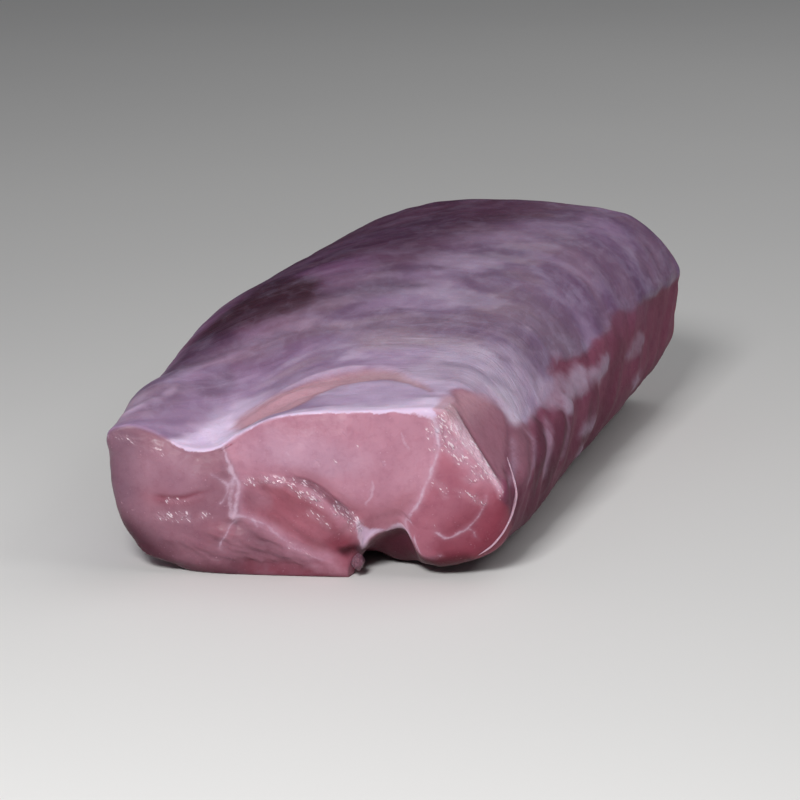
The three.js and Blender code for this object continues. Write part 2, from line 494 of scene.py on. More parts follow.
# Each vertex moves by its amount towards the mean of those it shares an edge with, many times.
def relax(points, quads, triangles, amount, rounds):
    sides = [faces[:, [k, (k + 1) % n]] for faces, n in ((quads, 4), (triangles, 3)) for k in range(n)]
    pairs = np.concatenate(sides)
    pairs = pairs[(amount[pairs] > 0).any(axis=1)]
    count = np.bincount(pairs.ravel(), minlength=len(points))
    for _ in range(rounds):
        for axis in range(3):
            total = np.bincount(pairs[:, 0], points[pairs[:, 1], axis], len(points))
            total += np.bincount(pairs[:, 1], points[pairs[:, 0], axis], len(points))
            mean = total / np.maximum(count, 1)
            points[:, axis] = between(points[:, axis], mean, amount)
    return points


# Millimetres round the section from the top of the middle, positive to the right, for every ring vertex.
def roundTheSection(points, starts, grid):
    around = 2 * (grid["across"] + grid["high"])
    chart = np.zeros(len(points))
    for block, finer in ((1, 2), (2, 1)):  # the fine rings, then the plain ones
        start, stop, count = starts[block], starts[block + 1], finer * around
        ring = points[start:stop, ::2].reshape(-1, count, 2)
        step = np.linalg.norm(np.roll(ring, -1, axis=1) - ring, axis=2)
        reached = np.concatenate([np.zeros((len(ring), 1)), np.cumsum(step, axis=1)], axis=1)
        x = ring[:, :finer * grid["across"], 0]
        middle = np.argmin(abs(x), axis=1)
        rows = np.arange(len(ring))
        zero = reached[rows, middle] - x[rows, middle]
        w = reached[:, :-1] - zero[:, None]
        full = reached[:, -1:]
        chart[start:stop] = np.where(w > full / 2, w - full, w).reshape(-1)
    return chart


# What the cut shows. Places are (x, z) in millimetres on the front cut.
cutColours = {
    "side": (149, 103, 119),
    # painted shade along the left rim of the cut
    "shadedSideEdge": (124, 88, 105),
    "eye": (182, 129, 148),
    "eyeHeart": (184, 140, 160),
    "red": (157, 93, 108),
    "base": (138, 93, 108),
    "right": (164, 98, 116),
    # dark red of the lower edges, also laid as painted shade in the crease, round the pocket and along
    # the bottom edge
    "rim": (126, 46, 64),
    # near black red, laid as painted shade in the fold, the pocket, a nook and under the right muscle
    "fat": (222, 196, 220),
    "deep": (64, 20, 30),
    "shade": (72, 34, 48),
    "web": (204, 176, 202),
    "pale": (166, 124, 142),
    # a pale painted sheen, laid over the wet places and the upper corner of the right muscle
    "paintedSheen": (208, 164, 184),
}
cutLines = {  # where the muscles meet, the rims, the fold and the crease, and two outlines
    "leftRim": [(-70, 60), (-44, 46), (-43, 30), (-44, 18), (-37, 8), (-27, 2), (-40, -9), (-75, 10)],
    "main": [(-19.5, 52), (-18.5, 40), (-15, 30), (-14.8, 24), (-15, 18), (-19, 9), (-21, -4)],
    "right": [(46, 60), (44.5, 43), (42.5, 33), (38, 23), (34, 17), (34, -4)],
    "low": [(-60, 10), (-30, 12), (-15, 19), (-5, 16), (4, 8.6), (16, 3), (30, 1)],
    "rim": [(66, 42), (63.5, 25), (61, 14), (54, 7), (44, 3), (36, 1)],
    "outer": [(-54, 32), (-51.7, 23.7), (-48.6, 15), (-44, 9), (-36.4, 1.5), (-30, -2), (-10, -3)],
    "fold": [(-13, 31), (-6, 31.6), (1, 31.3), (6, 30.3), (11, 27.4), (16, 22.8), (21.5, 17.5)],
    "crease": [(-40, 24.6), (-36, 24.3), (-32.5, 24.3), (-28.5, 24.8), (-25, 26), (-20, 26.9)],
    "redMeat": [(-12, 30), (-4, 30.8), (4, 30), (10, 25.5), (16, 19), (20, 12), (17, 8.5), (8, 8.5),
        (1, 13), (-7, 17.5), (-13, 20)],
    "web": [(21.2, 18), (21.4, 13), (22.4, 9), (24.2, 11.6), (26.4, 13.6), (28.4, 14.5), (26, 15),
        (23, 16)],
}
cutSeams = [  # half width at the start and at the end, strength, ridge height, points
    (0.3, 0.5, 0.9, 0.1, [(-19, 41), (-17.5, 37), (-16, 33.5), (-14.9, 30)]),
    (0.6, 1.1, 0.6, 0.15, [(-15.6, 30), (-15.6, 26), (-16, 22), (-15.8, 19)]),
    (0.35, 0.5, 1, 0.2, [(-14.9, 30.5), (-13.6, 27), (-13.9, 24), (-14.7, 21), (-14.8, 19)]),
    (0.1, 0.25, 0.9, 0.05, [(-21.5, 32.3), (-19.5, 31), (-16.5, 28.2)]),
    (0.25, 0.05, 0.9, 0.05, [(-16.6, 28), (-17.2, 25.5), (-19, 22.5)]),
    (0, 0.25, 0.9, 0.05, [(-14.3, 18), (-16.5, 15.5), (-18.7, 11.5), (-19, 9)]),
    (0.4, -0.1, 0.8, 0.1, [(-15.2, 19.2), (-10, 17.7), (-5, 16), (0, 12), (4, 8.6), (10, 5.5)]),
    (0.2, 0, 0.9, 0.05, [(-9.9, 17.7), (-8.2, 15.8)]),
    (0.4, 0.4, 0.8, 0.1, [(44.6, 44), (44.2, 38.5), (42.5, 33), (40.2, 27), (37.5, 22), (34.5, 18)]),
    (0.1, 0.35, 0.85, 0.1, [(58.3, 26.5), (57, 21.5), (54.3, 17.5), (51.3, 15.2), (47.6, 13.4),
        (44.2, 15.3)]),
    (0.15, -0.05, 0.85, 0.05, [(53.3, 16.5), (54.8, 15.6), (55.2, 13.5)]),
    (0.2, 1.2, 1, 0.3, [(29, 14.6), (31.5, 15.2), (33.8, 16.3)]),
    (1, 0.25, 0.9, 0.3, [(33.8, 16.6), (35.3, 14.6), (36.7, 12.4), (37.8, 9.8), (38, 7)]),
    (0.3, 0.25, 1, 0.2, [(22.3, 8.4), (24, 11.2), (26.4, 13.6), (29, 14.6)]),
    (0.5, 0.4, 1, 0.2, [(21.2, 18.2), (21.5, 15), (22, 12), (22.5, 9)]),
    (0.2, 0, 0.8, 0.1, [(38, 7), (39.8, 6.5), (42.6, 6.8), (45, 8)]),
    (1, 0.2, 1, 0.1, [(41, 53), (42.9, 49), (44.3, 45), (44.7, 41)]),
]
cutVeins = [  # paler marks that lie in the meat: half width, strength, points
    (0.4, 0.8, [(25.4, 32), (26.2, 29.5), (25.2, 25.5), (22.5, 22)]),
    (0.25, 0.9, [(33.2, 46.4), (36.6, 39.6)]),
    (0.2, 0.9, [(0.6, 39.7), (2.1, 38)]),
    (0.2, 0.9, [(28.5, 37.3), (29.9, 35.5)]),
    (0.1, 0.6, [(9.5, 37), (11, 35.6)]),
    (0.3, 0.3, [(-4.2, 49), (-1.7, 43)]),
    (0.3, 0.3, [(20.3, 49), (20, 43.5)]),
    (0.4, 0.3, [(31.1, 43.5), (31.8, 40.5)]),
    (0.4, 0.3, [(-29, 36), (-28.5, 32)]),
    (0.6, 0.3, [(-41, 38), (-40, 32)]),
    (0.3, 0.35, [(-27, 20.5), (-26.5, 17), (-28, 13)]),
    (0.5, 0.3, [(-40, 31), (-39, 27)]),
    (0.4, 0.25, [(48, 33), (50, 29)]),
]
fatBand = {  # how far the fat of the upper rim reaches down the cut, against x
    "x": (-56, -50, -40, -33, -31.5, -29, -24, -18, 1, 24, 33, 38, 41, 43, 44, 45),
    "deep": (-1, -0.5, 0.3, 0.9, 0.9, 0.8, 0.3, 0.1, 0.3, 0.5, 0.9, 1.4, 2.2, 3.2, 4, 2.5),
}
cutPatches = [  # paler and darker meat: colour, strength, softness, outline
    ("pale", 0.55, 4, [(-46, 34), (-38, 38), (-28, 36), (-24, 30), (-30, 27), (-42, 28)]),
    ("pale", 0.3, 4, [(-48, 24), (-44, 22), (-38, 12), (-42, 10), (-50, 16)]),
    ("red", 0.3, 2.5, [(-42, 27), (-32, 26.6), (-24, 25), (-31, 22.6), (-40, 23.5)]),
    ("red", 0.3, 3, [(-24, 18), (-16, 17.5), (-17, 13), (-24, 12)]),
    # darker red along the bottom edge, as painted shade
    ("rim", 0.6, 3.5, [(-50, 10), (-42, 6), (-30, 3), (-18, 3), (-20, -3), (-44, -3)]),
    ("rim", 0.4, 2, [(-16, 5), (-10, 6), (-8, 2), (-14, 1)]),
    # darker red round the pocket, as painted shade
    ("rim", 0.75, 2.5, [(14, 12), (20, 13), (21, 8), (17, 5), (13, 8)]),
    # painted shade under the right muscle, where its cut curls under
    ("deep", 0.95, 2, [(38, 5.6), (45, 7), (53, 8.5), (55, 4), (46, -2), (38, -1)]),
    ("rim", 0.6, 4, [(50, 20), (56, 24), (61, 22), (60, 12), (52, 6), (44, 8)]),
    # painted shade in the pocket
    ("deep", 0.9, 1.2, [(15.5, 8.8), (18.5, 9.8), (21.6, 9.6), (21.8, 7.4), (18.6, 6.6), (15.8, 7)]),
    ("rim", 0.25, 1.2, [(-38, 25.5), (-29, 25), (-27.5, 24), (-31, 23), (-38, 23.6)]),
    ("rim", 0.28, 4, [(-4, 24), (2, 27), (8, 22), (4, 18), (-4, 20)]),
    ("pale", 0.45, 3, [(-14, 29), (-8, 28), (-6, 22), (-13, 21)]),
    # a pale veil of painted sheen over the upper corner of the right muscle
    ("paintedSheen", 0.5, 5, [(44, 50), (49.5, 47.5), (58, 37), (59, 31), (54, 33), (49.5, 40), (46.5, 45)]),
]
wetPlaces = [  # where the meat is rough and glints: half width, strength, points
    (1.2, 0.8, [(-11.6, 29.8), (-5, 30.3), (-0.9, 30.4)]),
    (2, 1, [(4, 29.2), (10.8, 25.4), (16.5, 20.9), (21, 16.5)]),
    (1, 0.6, [(8, 21), (14, 16.5)]),
    (3, 1, [(45, 50), (49, 46), (53.4, 41), (57.5, 35)]),
    (2.4, 1, [(45, 48), (48.5, 43), (52, 38.5)]),
    (0.6, 0.5, [(-53, 43), (-47, 42), (-41, 39.5), (-36, 38)]),
    (1.2, 0.8, [(42.1, 46.6), (43.5, 41)]),
    (0.7, 0.8, [(46, 41), (48, 40), (49.5, 42)]),
    (1.3, 0.7, [(-37, 18), (-29, 18.5), (-20.5, 19.8)]),
    (0.7, 0.7, [(-34, 23.6), (-28, 23.8)]),
    (0.8, 0.6, [(50, 28), (53, 27.5)]),
    (0.9, 0.7, [(43, 31), (46, 29.5), (47, 27)]),
    (0.9, 0.7, [(55, 26), (57.5, 24)]),
    (0.6, 0.6, [(40, 19), (43, 17)]),
    (0.9, 0.6, [(52, 33), (55, 31)]),
    (0.8, 0.8, [(2, 10), (7, 7)]),
    (0.2, 0.9, [(28.7, 37), (29.6, 35.6), (30.4, 34.9)]),
    (0.2, 0.9, [(9.6, 37), (10.6, 35.8)]),
    (0.2, 0.9, [(14.9, 37.2), (15.6, 36.6)]),
    (0.2, 0.8, [(16.8, 45.6), (17.6, 44.4)]),
    (0.2, 0.8, [(21.2, 42.2), (21.8, 41.4)]),
]


def lineRamp(gap, half):  # 1 on the line, a half at its edge, 0 beyond
    return np.clip(0.5 + (half - abs(gap)), 0, 1)


def lay(colour, shades, *layers):  # named colours over the ones before, each by its share at each place
    for name, share in layers:
        colour = between(colour, shades[name], share[:, None])
    return colour


def layPatches(colour, shades, x, y, patches):  # the same, by distances inside outlines
    for name, strength, soft, outline in patches:
        share = strength * ease(insideOutline(x, y, outline), -soft, soft)
        colour = lay(colour, shades, (name, share))
    return colour


# Relief, colour and marks of a cut at places (x, z), of which top is the height of its upper rim.
# Shares ease across an edge or fade round a line, and noise moves the edges and varies the colour.
def cutLooks(x, z, top):
    flat = 0 * x
    shades = {name: screen(colour) for name, colour in cutColours.items()}
    wx = x + 0.5 * rough(x / 4, z / 4, flat, 11)
    wz = z + 0.5 * rough(x / 4, z / 4, flat + 9, 12)
    bx = x + 2.5 * rough(x / 11, z / 11, flat, 13, 2)
    bz = z + 2.5 * rough(x / 11, z / 11, flat + 9, 14, 2)

    # colour: each muscle has its own, and one eases into the next
    leftRim = insideOutline(x, z, cutLines["leftRim"])
    main = besideLine(wx, wz, cutLines["main"])[0]
    right = besideLine(wx, wz, cutLines["right"])[0]
    low = besideLine(wx, wz, cutLines["low"])[0]
    rim = besideLine(bx, bz, cutLines["rim"])[0]
    inRed = insideOutline(wx, wz, cutLines["redMeat"])
    heart = ease(1 - np.hypot((bx - 6) / 26, (bz - 39) / 9), 0, 0.7)
    underEye = ease(24 + 0.25 * x - bz, 0, 10) * ease(x, 10, 20) * ease(-right, -1, 3)
    # the left rim is darkened by painted shade
    colour = lay(np.tile(shades["side"], (len(x), 1)), shades,
                 ("shadedSideEdge", ease(leftRim, -4, 5) * ease(z, 12, 24)),
                 ("eye", ease(main, -0.6, 2.2)),
                 ("eyeHeart", heart * ease(main, 0, 6)),
                 ("base", ease(-low, -2, 5)),
                 ("red", ease(inRed, -1, 3)),
                 ("right", ease(right, -1, 2.5)),
                 ("red", 0.6 * underEye),
                 ("rim", 0.85 * bell(rim, 0, 4.5) * ease(x, 36, 46)))
    colour = layPatches(colour, shades, bx, bz, cutPatches)
    tone = rough(x / 9, z / 9, flat, 21, 4)
    colour = colour * (1 + 0.13 * tone[:, None] * np.array([0.8, 1.2, 1.0]))
    relief = 0.24 * rough(x / 8, z / 8, flat, 3, 4)
    across, down = 0.8 * x - 0.6 * z, 0.6 * x + 0.8 * z  # fibres of the red meat
    fibres = rough(across / 9, down / 2, flat, 22) * ease(inRed, -1, 2)
    colour = colour * (1 + 0.13 * fibres[:, None])
    relief += 0.25 * fibres

    # the eye rolls over into the fold, and red meat stands up again just below it
    fold, along = besideLine(x, z, cutLines["fold"])
    lively = ease(along, 0.25, 0.55) * (1 - ease(along, 0.93, 1))
    shelf = 1.1 * ease(along, 0, 0.4) * (1 - ease(along, 0.9, 1))
    relief += shelf * bell(np.minimum(fold + 1.5, 0), 0, 9) * ease(fold, 1.5, -1.5)
    relief += lively * (-2.0 * bell(fold, 0, 0.9) - 0.8 * bell(fold, 1.6, 2.6))
    foldShade = 0.6 * lively * bell(fold, -0.2, 0.8)
    underFold = 0.45 * ease(along, 0.1, 0.5) * bell(fold, 1.8, 2.2)
    crease, along = besideLine(x, z, cutLines["crease"])
    lively = ease(along, 0, 0.25) * (1 - ease(along, 0.6, 1))
    relief += lively * (0.15 * bell(crease, 1.8, 1.6) - 0.6 * bell(crease, 0, 0.8))
    relief -= 1.2 * bell(x, 18.7, 2.6) * bell(z, 8.3, 1.3)
    nookShade = bell(x, -14.5, 2.2) * bell(z, 17.2, 1.0)
    # painted shade darkens the fold, the crease and a nook between the seams
    colour = lay(colour, shades, ("deep", foldShade), ("red", underFold),
                 ("rim", 0.6 * lively * bell(crease, 0.1, 0.7)), ("deep", 0.5 * nookShade))

    # fibres of the base run down to the right, and its lower and outer edges are in shade
    u, t = 0.93 * x - 0.36 * z, 0.36 * x + 0.93 * z
    coarse = ease(-low, -1, 4)
    bundles = rough(u / 12, t / 2.6, flat, 31, 4)
    relief += coarse * 1.2 * bundles
    colour = colour * (1 + coarse[:, None] * (0.16 * bundles[:, None] - 0.03))
    shade = ease(z, 9, 1) * ease(x, 34, 20) * ease(bundles, 0.3, -0.6)
    outer = besideLine(x, z, cutLines["outer"])[0]
    inWeb = insideOutline(x, z, cutLines["web"])
    colour = lay(colour, shades, ("rim", 0.6 * shade),
                 ("shade", 0.95 * ease(outer, 11, 0) * ease(z, 26, 12) * ease(x, -2, -20)),
                 ("web", 0.9 * ease(inWeb, -0.5, 0.5)))
    relief -= 0.5 * ease(inWeb, -0.3, 0.8)

    # seams: milky bands with a soft halo, sunk a little between the muscles
    seam = np.zeros(x.shape)
    breadth = 0.4 * rough(x / 2.5, z / 2.5, flat, 15)
    patchy = 0.9 + 0.3 * rough(x / 2, z / 2, flat, 18, 2)
    for startHalf, endHalf, strength, ridge, points in cutSeams:
        gap, along = besideLine(wx, wz, points)
        half = between(startHalf, endHalf, along)
        half = half + breadth * np.clip(0.3 + half, 0.2, 1)
        seam = np.maximum(seam, strength * patchy * lineRamp(gap, half))
        colour = lay(colour, shades, ("fat", 0.1 * strength * bell(gap, 0, half + 0.7)))
        relief += ridge * bell(gap, 0, half + 0.4) - 0.25 * bell(gap, 0, 3.5 + half)
    vein = np.zeros(x.shape)
    for half, strength, points in cutVeins:
        gap, along = besideLine(wx, wz, points)
        taper = ease(along, 0, 0.2) * (1 - ease(along, 0.8, 1))
        vein = np.maximum(vein, strength * taper * lineRamp(gap, half))
    wet = np.zeros(x.shape)
    for half, strength, points in wetPlaces:
        gap, along = besideLine(x, z, points)
        here = strength * ease(half - abs(gap), -1.3, 1)
        here = here * ease(rough(x / 3, z / 3, flat, 16, 2), -0.7, 0.3)
        wet = np.maximum(wet, here)
        # a pale veil of painted sheen over each wet place
        colour = lay(colour, shades, ("paintedSheen", 0.3 * here))
        reach = math.dist(points[-1], points[0])
        relief += 0.42 * here * rough(along * reach / 2.6, gap / 1.1, flat, 17, 2)

    # fat: a ragged band under the upper rim, thickest left of the middle and at the right corner
    band = np.interp(x, fatBand["x"], fatBand["deep"])
    band = band + 0.45 * rough(x / 1.6, z / 3, flat, 41) + 0.3 * rough(x / 6, flat, flat, 42, 2)
    spread = 1 + 3.4 * ease(x, 34, 43)
    fat = np.clip(0.5 + (band - (top - z)) / spread, 0, 1) * ease(x + 0.2 * (z - 48), 45.2, 43.8)
    relief += 0.4 * fat
    relief -= 1.3 * bell(np.hypot(x - 39, z - 1.5), 0, 2.6)
    looks = {"relief": relief, "colour": colour, "seam": seam, "vein": vein, "fat": fat, "wet": wet}
    return {**looks, "skin": flat, "fibre": flat, "dull": flat}


# What the skin shows. Places are (w, y): millimetres round the section and along the joint.
skinColours = {
    "silver": (138, 112, 141),
    "bare": (134, 74, 97),
    "peach": (202, 157, 171),
    "lavender": (188, 162, 194),
    "beige": (168, 144, 152),
    "wine": (106, 66, 92),
    # purple membrane, laid darker still on the left as painted shade
    "plum": (72, 30, 44),
    "dusk": (80, 54, 82),
    "mauve": (122, 94, 122),
    "shoulder": (158, 106, 124),
    "rose": (140, 95, 111),
    "lowLeft": (124, 80, 96),
    # dark colours laid as painted shade in the groove, the crease beside the chamfer and under the right
    # muscle
    "groove": (76, 24, 40),
    "underShade": (54, 20, 30),
    "fat": (232, 210, 238),
    "tuft": (182, 158, 182),
    "pearl": (208, 190, 212),
    # a pale film on the chamfer, made lighter by painted sheen
    "rim": (228, 188, 206),
}
silverEdge = {  # how far right the silverskin reaches, against y
    "y": (-135, -97, -88, -82, -77, -71, -65, -47, -34, -24, -17, -6, 4, 14, 33, 43, 56, 73, 93, 128),
    "w": (46, 46, 46, 48, 50, 56, 66, 67, 66, 63, 62, 65, 67, 69, 70, 69, 72, 74, 76, 78),
}
fatRim = {  # how far back the white rim of fat reaches, against w
    "w": (-60, -46, -38, -34, -30, -26, -23, -18, -10, 0, 10, 25, 36, 38, 40, 42),
    "y": (-140, -136, -128, -117, -106, -100, -107, -117, -120, -117, -110, -105, -101, -98, -96, -99),
}
fibreSlope = {  # how steeply the fibres of the skin climb along the joint, against w
    "w": (-30, -5, 15, 38, 54, 76),
    "slope": (1.1, 0.8, 0.3, 0, -0.15, -0.9),
}
crescent = [  # meat that shows through the skin above the cut
    (-25, -109), (-21, -98), (-15, -93), (-9, -91), (-4, -86), (3, -79), (13, -74), (21, -76),
    (30, -83), (37, -93), (30, -87), (24, -83), (18, -83), (11, -88), (6, -92), (2, -100),
    (0, -107), (-3, -113), (-12, -114), (-22, -112),
]
shoulderPatch = [  # meat on the slope beside the cut
    (42, -88), (47, -82), (51, -76), (54, -74), (58, -73), (62, -75), (65, -80), (68, -86),
    (71, -94), (73, -103), (67, -104), (61, -104), (56, -103), (52, -101), (47, -99), (44, -94),
]
skinPatches = [  # colour, strength, softness of the edge, outline
    ("lavender", 0.8, 4, [(3, -108), (5, -98), (9, -91), (18, -86), (26, -87), (33, -95), (30, -105),
        (14, -108)]),
    ("fat", 0.55, 4, [(-34, -114), (-31, -102), (-26, -92), (-18, -88), (-19, -97), (-25, -109)]),
    # the plum patch and the dusk patches on the left are purple membrane darkened further as painted
    # shade
    ("plum", 0.85, 5, [(-56, -58), (-54, -30), (-46, -6), (-34, -6), (-24, -14), (-20, -30),
        (-26, -40), (-36, -49), (-46, -58)]),
    ("dusk", 0.7, 5, [(-58, -84), (-56, -56), (-44, -52), (-37, -58), (-40, -68), (-48, -80)]),
    ("lavender", 0.4, 4, [(-56, -98), (-50, -86), (-44, -82), (-42, -90), (-48, -98)]),
    ("wine", 0.45, 6, [(-18, 10), (-12, 40), (-2, 42), (0, 20), (-6, 8)]),
    ("lavender", 0.45, 9, [(10, 50), (16, 84), (32, 90), (34, 66), (24, 50)]),
    ("mauve", 0.8, 2, [(-41, -93), (-34, -80), (-30, -83), (-32, -93), (-37, -98)]),
    ("lavender", 0.35, 3, [(-27, -1), (-22, 9), (-13, 7), (-9, -10), (-15, -19), (-23, -20)]),
    # painted shade as well as purple membrane
    ("dusk", 0.4, 7, [(-64, 0), (-46, 62), (-28, 80), (-16, 108), (-8, 96), (-9, 60), (-14, 26),
        (-32, 0), (-44, -12)]),
    ("wine", 0.5, 12, [(-90, -20), (-76, 90), (-50, 130), (20, 135), (12, 112), (-30, 100), (-56, 20)]),
    ("bare", 0.8, 2, [(62, -30), (60, -20), (62, -13), (66, -16), (67, -26)]),
    ("mauve", 0.7, 3, [(-56, -118), (-50, -104), (-44, -94), (-41, -100), (-44, -116)]),
    # painted shade as well as purple membrane
    ("dusk", 0.6, 4, [(-62, -110), (-58, -92), (-50, -78), (-46, -84), (-53, -104)]),
    ("pearl", 0.5, 5, [(22, -72), (34, -86), (43, -84), (52, -72), (62, -73), (64, -56), (50, -44),
        (34, -50)]),
    ("pearl", 0.9, 2, [(49, -71), (53, -62), (56, -61), (60, -63), (64, -67), (64, -71), (61, -71),
        (57, -71), (53, -72)]),
    ("rose", 0.8, 2.5, [(64, -74), (67, -63), (71, -69), (76, -77), (79, -88), (76, -100),
        (72, -102), (73, -91), (67, -83)]),
    ("wine", 0.5, 9, [(-14, 20), (-10, 60), (-2, 108), (20, 112), (10, 70), (6, 30), (-4, 14)]),
    ("dusk", 0.4, 4, [(-22, -24), (-14, -12), (-2, -4), (8, -2), (0, -14), (-12, -22)]),
    ("mauve", 0.35, 9, [(44, 4), (52, 24), (62, 50), (72, 84), (78, 70), (68, 30), (56, 4)]),
    ("beige", 0.45, 5, [(0, -54), (12, -48), (30, -44), (22, -52), (6, -60)]),
    # a pale film on the chamfer, made lighter by painted sheen
    ("rim", 0.9, 1, [(44, -116), (45, -101), (52, -101), (59, -102), (66, -103), (72, -105),
        (77, -108), (78, -116)]),
    ("peach", 0.85, 1.5, [(42, -112), (42, -99), (45, -96), (50, -99), (51, -104), (49, -110)]),
]
skinLines = [  # half width, strength, height, points: pale ones add silver, dark ones take it
    (0.7, 0.8, 0.25, [(-25, -108), (-19, -99), (-12, -91), (-4, -84), (5, -76), (14, -73.5),
        (23, -76), (31, -84)]),
    (2.6, -0.7, -0.5, [(-21, -28), (-14, -18), (-4, -8), (7, 0)]),
    (2.2, -0.5, -0.6, [(-50, -82), (-38, -66), (-27, -54), (-9, -42)]),
    (1, 0.6, 0.3, [(-57, -123), (-53, -118), (-48, -110), (-43, -95)]),
    (0.9, -0.4, -0.2, [(36, -48), (46, -47), (54, -41), (62, -38)]),
    (1.4, -0.4, -0.3, [(28, -64), (41, -66), (51, -60), (61, -54)]),
    (0.7, 0.7, 0.3, [(46, -18), (56, -18)]),
    (2.2, 0.5, 0.35, [(20, -74), (33, -81), (46, -80), (56, -71), (63, -73)]),
    (0.4, 0.35, 0.1, [(65, -68), (71, -67), (77, -79), (82, -90)]),
    (0.3, 0.35, 0.1, [(66, -76), (70, -84), (74, -94), (77, -102)]),
    (0.8, 0.4, 0.1, [(68, -52), (73, -50), (79, -59), (85, -68)]),
    (0.8, 0.3, 0.1, [(71, -36), (78, -36), (86, -46)]),
]
sideStripes = [  # bands of bare muscle down the right side: half width, how dark, bulge, points
    (3, 0.15, 0.8, [(64, -74), (70, -75), (76, -88), (82, -98)]),
    (4, 0.8, 1.1, [(66, -61), (71, -59), (78, -70), (86, -82)]),
    (4.5, 0.9, 1.1, [(69, -43), (74, -41), (82, -52), (90, -64)]),
    (6, 0.5, 0.9, [(72, -27), (80, -32), (90, -44)]),
    (8, 0.6, 0.9, [(82, 8), (90, 0), (100, -16)]),
    (8, 0.4, 0.8, [(74, 40), (88, 32), (100, 16)]),
]
tufts = [  # pale tissue left on the right side: strength, outline
    (0.9, [(69, -18), (69, -8), (73, -1), (77, -5), (76, -16), (75, -32), (71, -34)]),
    (0.85, [(75, 0), (75, 14), (78, 24), (81, 19), (79, 2)]),
    (0.6, [(62, -44), (64, -26), (67, -20), (71, -24), (72, -36), (68, -44)]),
    (0.7, [(86, -18), (87, -7), (90, 3), (92, -3), (89, -16)]),
    (0.7, [(98, 54), (98, 63), (102, 69), (103, 59)]),
    (0.5, [(84, 44), (83, 54), (86, 73), (90, 66), (87, 48)]),
    (0.5, [(70, -52), (73, -55), (78, -61), (84, -66), (82, -60), (76, -54)]),
    (0.6, [(94, -14), (95, -9), (99, -8), (98, -15)]),
]


# (s, t) are the distances along and across the fibres of the skin, which sweep round the joint: t is y
# less the height that a fibre has climbed at w, and the climb is the sum of the slopes up to there.
def skinFlow(w, y):
    at = np.linspace(-220, 220, 441)
    slope = np.interp(at, fibreSlope["w"], fibreSlope["slope"])
    climb = np.concatenate([[0], np.cumsum(0.5 * (slope[1:] + slope[:-1]))])
    climb = climb - np.interp(30, at, climb)
    return w, y - np.interp(w, at, climb)


